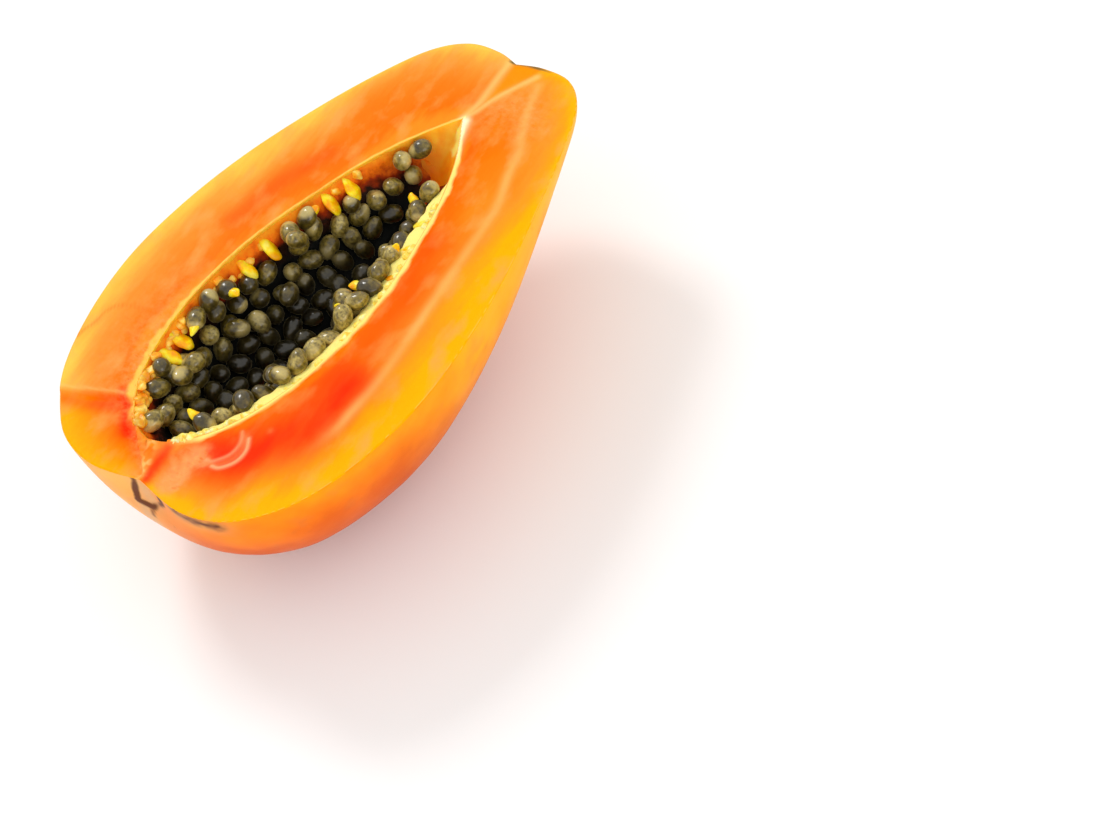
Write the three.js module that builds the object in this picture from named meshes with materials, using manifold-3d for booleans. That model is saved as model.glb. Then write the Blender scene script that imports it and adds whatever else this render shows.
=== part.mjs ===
// Half of a ripe, pear-shaped papaya, cut from end to end and laid on its back with the cut face up.
// Millimetres. +Z points up out of the cut face and +Y runs from the blossom end to the stem end.
// The shapes are worked out with the cut face at Z = 0, then the whole group is lifted onto the floor.

import * as THREE from "three";
import { mergeVertices } from "three/addons/utils/BufferGeometryUtils.js";
import Module from "manifold-3d";

const wasm = await Module();
wasm.setup();

// Driving dimensions of the fruit: half its outline as [radius, distance along], and how deep it is
const fruitEnds = { blossom: -87.5, stem: 82.5 };
const fruitProfile = [
  [0, -85], [16, -87.5], [30, -83], [42, -70], [49, -52], [52.5, -30], [51.5, -8],
  [47.5, 15], [41, 38], [34, 58], [26.5, 74], [18, 81.5], [8, 82.5], [0, 80.5],
];
const neckLean = 9;
const depthToRadius = { blossom: 1.1, middle: 1.11, stem: 0.54 };
const fruitSquareness = 2.2;
const restDepth = 57;

// Driving dimensions of the seed cavity
const cavityProfile = [
  [0, -74], [5, -72.5], [10, -68.5], [15.5, -61], [20, -50], [23, -36], [23.8, -20],
  [22.5, -4], [19, 12], [14.5, 28], [8, 43], [0, 56],
];
const cavityDepthToRadius = 1.22;
const cavitySquareness = 1.8;
const cavityLeanPerMm = 0.1;
const cavityShift = 0.6;
const lipHeight = 0.6;

// Driving dimensions of the seeds, of the membrane that holds them and of the yellow tags
const seedLength = 7.6;
const seedWidth = 5.7;
const seedThickness = 5.2;
const seedPitch = 6.3;
const seedStand = 1.6;
const upperSeedRise = 4;
const upperSeedShare = 0.2;
const wallClearance = 0.35;
const membraneGap = 0.9;
const tagLength = 9;
const tagWidth = 5;
const tagThickness = 2.6;

// A value between 0 and 1 that depends only on its number, so that the seeds fall the same way every time
function draw(number) {
  const value = Math.sin(number * 12.9898) * 43758.5453;
  return value - Math.floor(value);
}

function smoothStep(low, high, value) {
  const t = Math.min(1, Math.max(0, (value - low) / (high - low)));
  return t * t * (3 - 2 * t);
}

// The fruit's and the cavity's surfaces. A station runs from 0 at the blossom end to 1 at the stem end.
// An angle runs from 0 at the right cut edge, under the fruit, to PI at the left cut edge.
const toCurve = (profile) => new THREE.SplineCurve(profile.map((point) => new THREE.Vector2(...point)));
const fruitCurve = toCurve(fruitProfile);
const cavityCurve = toCurve(cavityProfile);

function roundedSection(angle, squareness) {
  const across = Math.sign(Math.cos(angle)) * Math.abs(Math.cos(angle)) ** (2 / squareness);
  const down = Math.max(0, Math.sin(angle)) ** (2 / squareness);
  return { across, down };
}

// The neck leans to the right, as it grew under its stalk.
function fruitMiddle(along) {
  const rise = (along - fruitEnds.blossom) / (fruitEnds.stem - fruitEnds.blossom);
  return neckLean * rise ** 3;
}

function cavityMiddle(along) {
  return cavityShift + cavityLeanPerMm * along;
}

function depthRatio(along) {
  const s = along / fruitEnds.stem;
  const { blossom, middle, stem } = depthToRadius;
  return middle + ((stem - blossom) / 2) * s + ((stem + blossom) / 2 - middle) * s * s;
}

// The knife started again low on the left, and left a shallow facet below a slanted step in the cut face.
const knifeStep = { along: -57.8, slope: 0.38, run: 3, drop: 1.6, reach: 16, leftOf: -22, fade: 6 };

function cutHeight(x, along) {
  const below = knifeStep.along + knifeStep.slope * x - along;
  const facetEnd = 1 - smoothStep(knifeStep.run, knifeStep.reach, below);
  const underStep = smoothStep(0, knifeStep.run, below) * facetEnd;
  const onTheLeft = 1 - smoothStep(knifeStep.leftOf, knifeStep.leftOf + knifeStep.fade, x);
  return -knifeStep.drop * underStep * onTheLeft;
}

function skinPoint(station, angle) {
  const { x: profileRadius, y: along } = fruitCurve.getPoint(station);
  const { across, down } = roundedSection(angle, fruitSquareness);
  const radius = Math.max(0, profileRadius);
  const x = fruitMiddle(along) + radius * across;
  const z = Math.min(cutHeight(x, along), -depthRatio(along) * radius * down);
  return new THREE.Vector3(x, along, Math.max(z, -restDepth));
}

// The inset is how far inside the cavity's wall the point lies.
function cavityPoint(station, angle, inset = 0) {
  const { x: wallRadius, y: along } = cavityCurve.getPoint(station);
  const { across, down } = roundedSection(angle, cavitySquareness);
  const radius = Math.max(0, wallRadius - inset);
  const x = cavityMiddle(along) + radius * across;
  const z = Math.min(cutHeight(x, along), -cavityDepthToRadius * radius * down);
  return new THREE.Vector3(x, along, z);
}

// The direction off the cavity's wall into the open
function cavityInward(station, angle) {
  const step = 0.002;
  const s = Math.min(1 - 2 * step, Math.max(2 * step, station));
  const a = Math.min(Math.PI - 2 * step, Math.max(2 * step, angle));
  const alongSlope = cavityPoint(s + step, a).sub(cavityPoint(s - step, a));
  const aroundSlope = cavityPoint(s, a + step).sub(cavityPoint(s, a - step));
  return alongSlope.cross(aroundSlope).normalize();
}

// Closed solids are sewn from patches. A patch is a grid of points, given as rows.
function grid(rowCount, columnCount, pointAt) {
  return Array.from({ length: rowCount + 1 }, (_, i) =>
    Array.from({ length: columnCount + 1 }, (_, j) => pointAt(i / rowCount, j / columnCount)));
}

function addPatch(corners, rows, flip) {
  const smallestArea = 1e-6;
  const addTriangle = (a, b, c) => {
    if (b.clone().sub(a).cross(c.clone().sub(a)).length() > smallestArea) {
      corners.push(...(flip ? [a, c, b] : [a, b, c]));
    }
  };
  for (let i = 0; i + 1 < rows.length; i += 1) {
    for (let j = 0; j + 1 < rows[i].length; j += 1) {
      addTriangle(rows[i][j], rows[i][j + 1], rows[i + 1][j + 1]);
      addTriangle(rows[i][j], rows[i + 1][j + 1], rows[i + 1][j]);
    }
  }
}

function toSolid(geometry) {
  const weldDistance = 1e-3;
  const bare = geometry.clone();
  bare.deleteAttribute("normal");
  bare.deleteAttribute("uv");
  const merged = mergeVertices(bare, weldDistance);
  const mesh = new wasm.Mesh({
    numProp: 3,
    vertProperties: new Float32Array(merged.attributes.position.array),
    triVerts: new Uint32Array(merged.index.array),
  });
  return new wasm.Manifold(mesh);
}

function sewnSolid(corners) {
  return toSolid(new THREE.BufferGeometry().setFromPoints(corners));
}

function toMesh(solid, name, material) {
  const { vertProperties, triVerts } = solid.getMesh();
  const geometry = new THREE.BufferGeometry();
  geometry.setAttribute("position", new THREE.BufferAttribute(vertProperties, 3));
  geometry.setIndex(new THREE.BufferAttribute(triVerts, 1));
  geometry.computeVertexNormals();
  const mesh = new THREE.Mesh(geometry, material);
  mesh.name = name;
  return mesh;
}

// Flesh and skin in one piece, with the cavity open at the top and a low lip along its right edge
const stationCount = 52;
const skinColumns = 16;
const wallColumns = 12;
const faceStops = [
  { inward: 0, lip: 0 }, { inward: 0.45, lip: 0 }, { inward: 0.84, lip: 0 }, { inward: 0.93, lip: 1 },
  { inward: 1, lip: 0 },
];

function faceRow(station, angle) {
  const lipHere = angle === 0 ? lipHeight * Math.sin(Math.PI * station) : 0;
  return faceStops.map(({ inward, lip }) => {
    const point = skinPoint(station, angle).lerp(cavityPoint(station, angle), inward);
    point.z = cutHeight(point.x, point.y) + lip * lipHere;
    return point;
  });
}

function fleshBody() {
  const corners = [];
  const stations = Array.from({ length: stationCount + 1 }, (_, i) => i / stationCount);
  addPatch(corners, grid(stationCount, skinColumns, (s, t) => skinPoint(s, t * Math.PI)), false);
  addPatch(corners, grid(stationCount, wallColumns, (s, t) => cavityPoint(s, t * Math.PI)), true);
  addPatch(corners, stations.map((station) => faceRow(station, 0)), true);
  addPatch(corners, stations.map((station) => faceRow(station, Math.PI)), false);
  return sewnSolid(corners);
}

// An egg with few sides, standing along +Y, for a seed or a tag. The fullness makes up for the flat sides.
function eggGeometry(width, thickness, length) {
  const sides = 6;
  const bands = 3;
  const fullness = 1.12;
  const taper = 0.25;
  const geometry = new THREE.SphereGeometry(0.5, sides, bands);
  const position = geometry.attributes.position;
  for (let i = 0; i < position.count; i += 1) {
    const y = position.getY(i);
    const spread = fullness * (1 + taper * y);
    position.setXYZ(i, position.getX(i) * width * spread, y * length, position.getZ(i) * thickness * spread);
  }
  return geometry;
}

function placedSolid(geometry, { centre, direction }) {
  const turn = new THREE.Quaternion().setFromUnitVectors(new THREE.Vector3(0, 1, 0), direction);
  const matrix = new THREE.Matrix4().compose(centre, turn, new THREE.Vector3(1, 1, 1));
  return toSolid(geometry.clone().applyMatrix4(matrix));
}

// Yellow tags stand out of the wall just under the cut face: the station and side of each
const tagPlaces = [
  [0.37, "left"], [0.41, "left"], [0.58, "left"], [0.63, "left"], [0.75, "left"], [0.79, "left"],
  [0.38, "right"], [0.43, "right"], [0.67, "right"], [0.73, "right"], [0.78, "right"],
];
const tagAngle = 0.14;
const tagDroop = 0.7;
const tagStand = 0.3;

const tags = tagPlaces.map(([station, side]) => {
  const angle = side === "right" ? tagAngle : Math.PI - tagAngle;
  const direction = cavityInward(station, angle).add(new THREE.Vector3(0, 0, -tagDroop)).normalize();
  const centre = cavityPoint(station, angle).addScaledVector(direction, tagLength * tagStand);
  return { centre, direction };
});

function tagSolids(room) {
  const tag = eggGeometry(tagWidth + 2 * room, tagThickness + 2 * room, tagLength + 2 * room);
  return tags.map((pose) => placedSolid(tag, pose));
}

// Seeds stand in rows across the cavity, a pitch apart, in a bank on each side of the groove along its floor.
// From and to are angles in half turns, and start and end are stations.
const seedBanks = {
  left: { side: -1, from: 0.5, to: 1, start: 0.11, end: 0.93, thickness: 0.8, firstNumber: 1 },
  right: { side: 1, from: 0.01, to: 0.46, start: 0.11, end: 0.92, thickness: 4.2, firstNumber: 5001 },
};
const grooveOffset = 1.5;
const grooveHalfWidth = 3.8;
const highestSeedCentre = -1.6;
const tagRoom = 4.4;
const rimRoom = 0.02;
const fullThicknessRadius = 20;
const drawsPerSeed = 7;

function bedRise(station, thickness) {
  const { x: wallRadius } = cavityCurve.getPoint(station);
  return membraneGap + thickness * Math.min(1, wallRadius / fullThicknessRadius);
}

function rowStations(start, end) {
  const fineSteps = 400;
  const stations = [];
  let travelled = seedPitch / 2;
  let last = cavityCurve.getPoint(start);
  for (let i = 1; i <= fineSteps; i += 1) {
    const station = start + ((end - start) * i) / fineSteps;
    const point = cavityCurve.getPoint(station);
    travelled += point.distanceTo(last);
    last = point;
    if (travelled >= seedPitch) {
      stations.push(station);
      travelled -= seedPitch;
    }
  }
  return stations;
}

function rowLength(station, from, to) {
  const steps = 24;
  const points = Array.from({ length: steps + 1 }, (_, i) =>
    cavityPoint(station, (from + ((to - from) * i) / steps) * Math.PI));
  return points.slice(1).reduce((length, point, i) => length + point.distanceTo(points[i]), 0);
}

// A seed leans off the wall any way, more outwards than not.
function seedPose(station, angle, rise, number) {
  const outwards = 0.4;
  const sidewards = 1.6;
  const inward = cavityInward(station, angle);
  const lean = new THREE.Vector3(draw(number), draw(number + 1), draw(number + 2)).subScalar(0.5);
  const direction = lean.multiplyScalar(sidewards).addScaledVector(inward, outwards).normalize();
  const centre = cavityPoint(station, angle).addScaledVector(inward, rise);
  return { centre, direction };
}

// A seed stays below the cut face, off the tags, and on its own side of the groove between the banks.
function hasRoom({ centre }, side) {
  const offTags = tags.every((tag) => tag.centre.distanceTo(centre) > tagRoom);
  const fromGroove = side * (centre.x - cavityMiddle(centre.y) - grooveOffset);
  return offTags && fromGroove > grooveHalfWidth && centre.z < highestSeedCentre;
}

function bankSeeds({ side, from, to, start, end, thickness, firstNumber }) {
  const stagger = 0.2;
  const placeSpread = 0.3;
  const riseSpread = 0.8;
  const seeds = [];
  let number = firstNumber;
  rowStations(start, end).forEach((station, row) => {
    const count = Math.max(1, Math.round(rowLength(station, from, to) / seedPitch));
    for (let i = 0; i < count; i += 1) {
      number += drawsPerSeed;
      const shift = (row % 2 ? stagger : -stagger) + placeSpread * (draw(number + 3) - 0.5);
      const turn = from + ((to - from) * (i + 0.5 + shift)) / count;
      const angle = Math.min(1 - rimRoom, Math.max(rimRoom, turn)) * Math.PI;
      const rise = bedRise(station, thickness) + seedStand + riseSpread * (draw(number + 4) - 0.5);
      const seed = seedPose(station, angle, rise, number);
      const upperSeed = seedPose(station, angle, rise + upperSeedRise, number + 0.5);
      if (!hasRoom(seed, side)) {
        continue;
      }
      seeds.push(seed);
      if (hasRoom(upperSeed, side) && draw(number + 5) < upperSeedShare) {
        seeds.push(upperSeed);
      }
    }
  });
  return seeds;
}

// The seed membrane lines the wall under a bank, and the seeds stand out of it.
function membrane({ from, to, start, end, thickness }) {
  const rows = 14;
  const columns = 5;
  const margin = 0.03;
  const stationAt = (s) => start - margin + (end - start + 2 * margin) * s;
  const angleAt = (t) => (from + (to - from) * t) * Math.PI;
  const under = grid(rows, columns, (s, t) => cavityPoint(stationAt(s), angleAt(t), membraneGap));
  const over = grid(rows, columns, (s, t) =>
    cavityPoint(stationAt(s), angleAt(t), bedRise(stationAt(s), thickness)));
  const column = (patch, j) => patch.map((row) => row[j]);
  const corners = [];
  addPatch(corners, under, false);
  addPatch(corners, over, true);
  addPatch(corners, [under[0], over[0]], true);
  addPatch(corners, [under[rows], over[rows]], false);
  addPatch(corners, [column(under, 0), column(over, 0)], false);
  addPatch(corners, [column(under, columns), column(over, columns)], true);
  return sewnSolid(corners);
}

// The space inside the cavity, a little clear of its wall and of the tags
function clearSpace() {
  const corners = [];
  const wall = grid(stationCount, wallColumns, (s, t) => cavityPoint(s, t * Math.PI, wallClearance));
  addPatch(corners, wall, false);
  addPatch(corners, wall.map((row) => [row[0], row[wallColumns]]), true);
  return sewnSolid(corners).subtract(wasm.Manifold.union(tagSolids(wallClearance)));
}

function bankSolid(bank) {
  const seed = eggGeometry(seedWidth, seedThickness, seedLength);
  const seedSolids = bankSeeds(bank).map((pose) => placedSolid(seed, pose));
  return wasm.Manifold.union([membrane(bank), ...seedSolids]).intersect(clearSpace());
}

// Materials
const fleshMaterial = new THREE.MeshStandardMaterial({ color: 0xff8a1e, roughness: 0.4, metalness: 0 });
const seedMaterial = new THREE.MeshStandardMaterial({ color: 0x3f3a22, roughness: 0.3, metalness: 0 });

// The part, set over the origin and lifted so that the flat spot under it rests on the floor
const papaya = wasm.Manifold.union([fleshBody(), ...tagSolids(0)]);
const part = new THREE.Group();
part.add(toMesh(papaya, "papaya_half", fleshMaterial));
part.add(toMesh(bankSolid(seedBanks.left), "seeds_left", seedMaterial));
part.add(toMesh(bankSolid(seedBanks.right), "seeds_right", seedMaterial));
const box = new THREE.Box3().setFromObject(part);
part.position.set(-(box.min.x + box.max.x) / 2, -(box.min.y + box.max.y) / 2, restDepth);

export default part;
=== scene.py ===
"""Half of a ripe, pear-shaped papaya, cut from end to end, with its seeds in a bank on each side."""
import math

import bmesh
import bpy
import numpy as np
from mathutils import Matrix


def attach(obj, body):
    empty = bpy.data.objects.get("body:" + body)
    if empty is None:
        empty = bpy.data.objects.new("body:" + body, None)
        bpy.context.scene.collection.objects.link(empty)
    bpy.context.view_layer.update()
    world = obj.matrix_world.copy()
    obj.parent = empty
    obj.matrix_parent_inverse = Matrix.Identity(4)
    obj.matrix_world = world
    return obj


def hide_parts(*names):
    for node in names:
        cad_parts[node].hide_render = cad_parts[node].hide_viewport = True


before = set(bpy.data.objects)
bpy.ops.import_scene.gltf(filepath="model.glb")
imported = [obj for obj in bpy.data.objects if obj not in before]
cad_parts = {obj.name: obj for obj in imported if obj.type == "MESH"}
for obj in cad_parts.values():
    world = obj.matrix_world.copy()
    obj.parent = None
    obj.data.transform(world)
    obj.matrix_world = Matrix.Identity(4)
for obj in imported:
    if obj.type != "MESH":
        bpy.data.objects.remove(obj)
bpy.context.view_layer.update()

# The half itself: soft flesh inside a thin waxy skin, grown as one piece round a long cavity. A knife cut it
# from end to end and left a flat face with a shallow facet low on the left, and it lies on its skin.
# Sizes are in millimetres, with the cut face at Z = 0 until the mesh is made.
fruit_ends = {"blossom": -87.5, "stem": 82.5}
fruit_profile = [
    [0, -85], [16, -87.5], [30, -83], [42, -70], [49, -52], [52.5, -30], [51.5, -8],
    [47.5, 15], [41, 38], [34, 58], [26.5, 74], [18, 81.5], [8, 82.5], [0, 80.5],
]
neck_lean = 9
depth_to_radius = {"blossom": 1.1, "middle": 1.11, "stem": 0.54}
fruit_squareness = 2.2
rest_depth = 57
cavity_profile = [
    [0, -74], [5, -72.5], [10, -68.5], [15.5, -61], [20, -50], [23, -36], [23.8, -20],
    [22.5, -4], [19, 12], [14.5, 28], [8, 43], [0, 56],
]
cavity_depth_to_radius = 1.22
cavity_squareness = 1.8
cavity_lean_per_mm = 0.1
cavity_shift = 0.6
lip_height = 0.6
knife_step = {"along": -57.8, "slope": 0.38, "run": 1.6, "drop": 1.6, "reach": 16, "left_of": -22, "fade": 5}
shallow_side = {"from": -40, "to": -32, "share": 0.35}
to_floor = np.array([-0.4575, 2.4434, rest_depth])


def smooth_step(low, high, value):
    t = np.clip((value - low) / (high - low), 0, 1)
    return t * t * (3 - 2 * t)


def along_curve(profile, place):
    """Points on the smooth curve through a profile, for places from 0 to 1 along it."""
    points = np.array(profile, float)
    last = len(points) - 1
    place = np.clip(place, 0, 1) * last
    i = np.minimum(place.astype(int), last - 1)
    w = (place - i)[..., None]
    a, b, c, d = (points[np.clip(i + k, 0, last)] for k in (-1, 0, 1, 2))
    return b + 0.5 * ((c - a) * w + (2 * a - 5 * b + 4 * c - d) * w**2 + (3 * b - 3 * c + d - a) * w**3)


def rounded_section(angle, squareness):
    across = np.sign(np.cos(angle)) * np.abs(np.cos(angle)) ** (2 / squareness)
    down = np.maximum(0, np.sin(angle)) ** (2 / squareness)
    return across, down


def fruit_middle(along):
    rise = (along - fruit_ends["blossom"]) / (fruit_ends["stem"] - fruit_ends["blossom"])
    return neck_lean * rise**3


def cavity_middle(along):
    return cavity_shift + cavity_lean_per_mm * along


def depth_ratio(along):
    s = along / fruit_ends["stem"]
    blossom, middle, stem = depth_to_radius["blossom"], depth_to_radius["middle"], depth_to_radius["stem"]
    return middle + (stem - blossom) / 2 * s + ((stem + blossom) / 2 - middle) * s * s


def cut_height(x, along):
    """The height of the plain cut face: flat, but for the facet low on the left."""
    step = knife_step
    below = step["along"] + step["slope"] * x - along
    facet_end = 1 - smooth_step(step["run"], step["reach"], below)
    on_the_left = 1 - smooth_step(step["left_of"], step["left_of"] + step["fade"], x)
    share = shallow_side["share"]
    deeper = share + (1 - share) * smooth_step(shallow_side["from"], shallow_side["to"], x)
    return -step["drop"] * smooth_step(0, step["run"], below) * facet_end * on_the_left * deeper


def skin_point(station, angle):
    """A point on the skin. A station runs from 0 at the blossom end to 1 at the stem end,
    and an angle from 0 at the right cut edge, under the fruit, to pi at the left cut edge."""
    radius, along = np.moveaxis(along_curve(fruit_profile, station), -1, 0)
    across, down = rounded_section(angle, fruit_squareness)
    radius = np.maximum(0, radius)
    x = fruit_middle(along) + radius * across
    z = np.minimum(cut_height(x, along), -depth_ratio(along) * radius * down)
    return np.stack(np.broadcast_arrays(x, along, np.maximum(z, -rest_depth)), -1)


def cavity_point(station, angle, inset=0):
    """A point on the cavity's wall, or further into the open by an inset."""
    radius, along = np.moveaxis(along_curve(cavity_profile, station), -1, 0)
    across, down = rounded_section(angle, cavity_squareness)
    radius = np.maximum(0, radius - inset)
    x = cavity_middle(along) + radius * across
    z = np.minimum(cut_height(x, along), -cavity_depth_to_radius * radius * down)
    return np.stack(np.broadcast_arrays(x, along, z), -1)


def cavity_inward(station, angle):
    """The direction off the cavity's wall into the open."""
    step = 0.002
    s = np.clip(station, 2 * step, 1 - 2 * step)
    a = np.clip(angle, 2 * step, np.pi - 2 * step)
    along_slope = cavity_point(s + step, a) - cavity_point(s - step, a)
    around_slope = cavity_point(s, a + step) - cavity_point(s, a - step)
    normal = np.cross(along_slope, around_slope)
    return normal / np.linalg.norm(normal, axis=-1, keepdims=True)


def waver(points, size, number):
    """Smooth random heights from -1 to 1, with lumps of the given size in millimetres."""
    place = points / size + 31.7 * number
    cell = np.floor(place)
    w = place - cell
    w = w * w * (3 - 2 * w)
    total = 0
    for corner in np.ndindex(2, 2, 2):
        value = np.sin((cell + corner) @ [127.1, 311.7, 74.7]) * 43758.5453
        share = np.prod(np.where(corner, w, 1 - w), axis=-1)
        total = total + share * (value - np.floor(value))
    return 2 * total - 1


def distance_to_line(points, line):
    """How far each point lies from a line. Places with an X and a Y make a smooth line that is seen
    from above, and places with a Z too make one with corners."""
    line = np.array(line, float)
    dimensions = line.shape[1]
    if dimensions == 2:
        line = along_curve(line, np.linspace(0, 1, 4 * len(line)))
    points = points[..., :dimensions]
    nearest = np.full(points.shape[:-1], 1e9)
    for start, end in zip(line[:-1], line[1:]):
        run = end - start
        share = np.clip(((points - start) @ run) / (run @ run), 0, 1)
        nearest = np.minimum(nearest, np.linalg.norm(points - start - share[..., None] * run, axis=-1))
    return nearest


def hill(distance, width):
    """1 at no distance, fading to almost nothing at twice the given width."""
    return np.exp(-((distance / width) ** 2))


def beside(points, line, width):
    """1 on a line, fading away over a width on both sides of it."""
    return hill(distance_to_line(points, line), width)


station_count = 300
skin_columns = 84
wall_columns = 56
face_columns = 72
closer_at_ends = 0.5
closer_at_cut = 0.8
stations = np.linspace(0, 1, station_count + 1)[:, None]
stations = stations - closer_at_ends * np.sin(2 * np.pi * stations) / (2 * np.pi)


def turns(columns):
    """Angles from 0 to pi that lie closer together near both cut edges."""
    share = np.linspace(0, 1, columns + 1)[None, :]
    return np.pi * (share - closer_at_cut * np.sin(2 * np.pi * share) / (2 * np.pi))


# Skin: a little uneven, with a shallow pit round the scar at each end
blossom_scar = [2.0, -87.0, -6.0]
stem_scar = [11.5, 81.5, -4.0]
blossom_pit = {"depth": 0.7, "width": 5}
stem_pit = {"depth": 0.9, "width": 7}
skin_relief = {"broad": 0.35, "fine": 0.05, "least": 0.06}
core_share = {"length": 0.8, "depth": 0.35}
skin = skin_point(stations, turns(skin_columns))
core_height = np.full(skin.shape[:2], -core_share["depth"] * rest_depth)
core = np.stack([fruit_middle(skin[..., 1]), core_share["length"] * skin[..., 1], core_height], -1)
outward = skin - core
outward /= np.linalg.norm(outward, axis=-1, keepdims=True)
to_stem_scar = np.linalg.norm(skin - stem_scar, axis=-1)
to_blossom_scar = np.linalg.norm(skin - blossom_scar, axis=-1)
unevenness = skin_relief["broad"] * (1 + waver(skin, 26, 1)) + skin_relief["fine"] * (1 + waver(skin, 5, 2))
pits = blossom_pit["depth"] * hill(to_blossom_scar, blossom_pit["width"])
pits = pits + stem_pit["depth"] * hill(to_stem_scar, stem_pit["width"])
off_the_floor = smooth_step(0, 4, skin[..., 2] + rest_depth)
sunk = skin_relief["least"] + (unevenness + pits) * smooth_step(0, 9, -skin[..., 2])
skin = skin - outward * (sunk * off_the_floor)[..., None]
skin[..., 2] = np.maximum(skin[..., 2], -rest_depth)

# Cut face: the lines of what the knife, a tear and the fruit's own growth left in it, seen from above
gouge_line = [[16.5, -60.6], [18.2, -63.9], [17.9, -67.9], [15.2, -71.4], [12.9, -71.9]]
nick = [21.6, -56.2, 0]
broken_line = [[7.2, -81.0], [7.4, -76.0], [8.6, -72.5]]
ridge_line = [[-6.5, -72.0], [-4.8, -74.5], [-2.9, -78.6], [-1.7, -81.8], [-2.2, -84.5]]
torn_line = [[-20.5, -65.5], [-13.2, -72.6], [-6.7, -78.0], [-1.5, -83.0]]
frayed_line = [[-24.5, -36.0], [-25.3, -44.0], [-25.2, -50.5], [-22.8, -58.5], [-19.5, -65.0]]
mottled_line = [[14.5, 62.0], [21.0, 68.0], [25.0, 62.0]]
left_vein = [[6.4, 57.0], [7.2, 63.5], [6.8, 71.9], [6.3, 80.0]]
right_vein = [[6.6, 57.5], [8.1, 60.0], [11.1, 68.3], [17.2, 79.0]]
outer_vein = [
    [19.5, 76.0], [23.2, 63.4], [28.2, 53.3], [30.3, 44.1], [33.3, 35.5], [34.5, 26.3], [35.4, 12.0],
    [36.6, -4.0], [38.0, -20.0], [38.2, -36.0], [36.5, -52.0], [31.0, -64.0],
]
cavity_tip = [[7.3, 55.5], [8.8, 50.0], [11.5, 43.0]]
hairline = [[-48.0, -63.0], [-46.4, -52.8], [-43.6, -43.7], [-34.0, -40.8], [-31.2, -37.5]]
step_edge = [[-41, -72.4], [-32, -69.0], [-23, -65.6]]
stem_scar_edge = [[6.4, 80.4], [12.8, 81.9], [19.5, 81.4]]

# Each warm band is its line, its half width and how red it is
warm_bands = [
    ([[14, -69], [20, -65], [29, -52], [32, -34]], 9, 1.0), ([[32, -34], [30, -8], [25, 14]], 8, 0.5),
    ([[25, 14], [19, 34], [13, 50]], 4, 0.2), ([[-33, -4], [-29, 12], [-22, 28]], 4, 0.4),
    ([[-38, -75], [-30, -72.5], [-22, -69]], 3, 0.7), ([[-23, -65.5], [-18.5, -70.5], [-14, -74.5]], 2, 1.0),
    ([[0.2, -73.5], [0.7, -79.0], [1.1, -84.0]], 2.1, 0.8),
]

# How deep or high the relief of the cut face is
relief = {
    "torn": 1.5, "broken": 0.6, "rounded_edge": 0.25, "dips": 0.1, "grain": 0.02, "frayed": 0.22,
    "gouge": 0.35, "flap": 0.25, "wedge": 0.35, "left_lip": 0.35, "crumbly": 0.5,
}
highest_lip = 0.97 * lip_height


def torn_side(along):
    """Where the torn edge at the right of the knife's facet runs."""
    line = np.array(torn_line)[::-1]
    return np.interp(along, line[:, 1], line[:, 0])


def right_lip(flat, from_rim):
    """The share of the raised pale lip at the right rim, widest on the stem's side of the middle."""
    along = flat[..., 1]
    scallop = 1 + 0.3 * waver(flat, 3.5, 7) + 0.15 * waver(flat, 1.3, 12)
    lip_width = 1.7 + 1.5 * smooth_step(-45, 5, along) * (1 - smooth_step(35, 54, along))
    lip = smooth_step(1.1, 0.7, from_rim * scallop / lip_width) * smooth_step(0, 0.5, from_rim)
    return lip * smooth_step(-73, -66, along)


def left_lip(flat, from_rim):
    """The share of the lower yellow lip at the left rim."""
    along = flat[..., 1]
    scallop = 1 + 0.25 * waver(flat, 2.5, 7)
    lip_width = 1.5 + 1.2 * smooth_step(-20, -34, along) + 0.5 * smooth_step(10, 40, along)
    return smooth_step(1.15, 0.7, from_rim * scallop / lip_width) * smooth_step(-74, -66, along)


def veins(flat):
    """The pale veins, the pale edge of the knife's step and the pale crumbs on the torn ridge."""
    patchy = (0.7 + 0.3 * waver(flat * [1, 0.25, 0], 3, 8)) * smooth_step(-60, -40, flat[..., 1])
    shares = [
        beside(flat, left_vein, 1.3), beside(flat, right_vein, 1.1), 0.5 * beside(flat, step_edge, 0.5),
        0.8 * patchy * beside(flat, outer_vein, 1.5),
        smooth_step(-0.5, 0.3, waver(flat, 1.5, 27)) * beside(flat, ridge_line, 1.3),
    ]
    return np.max(shares, axis=0)


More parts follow.
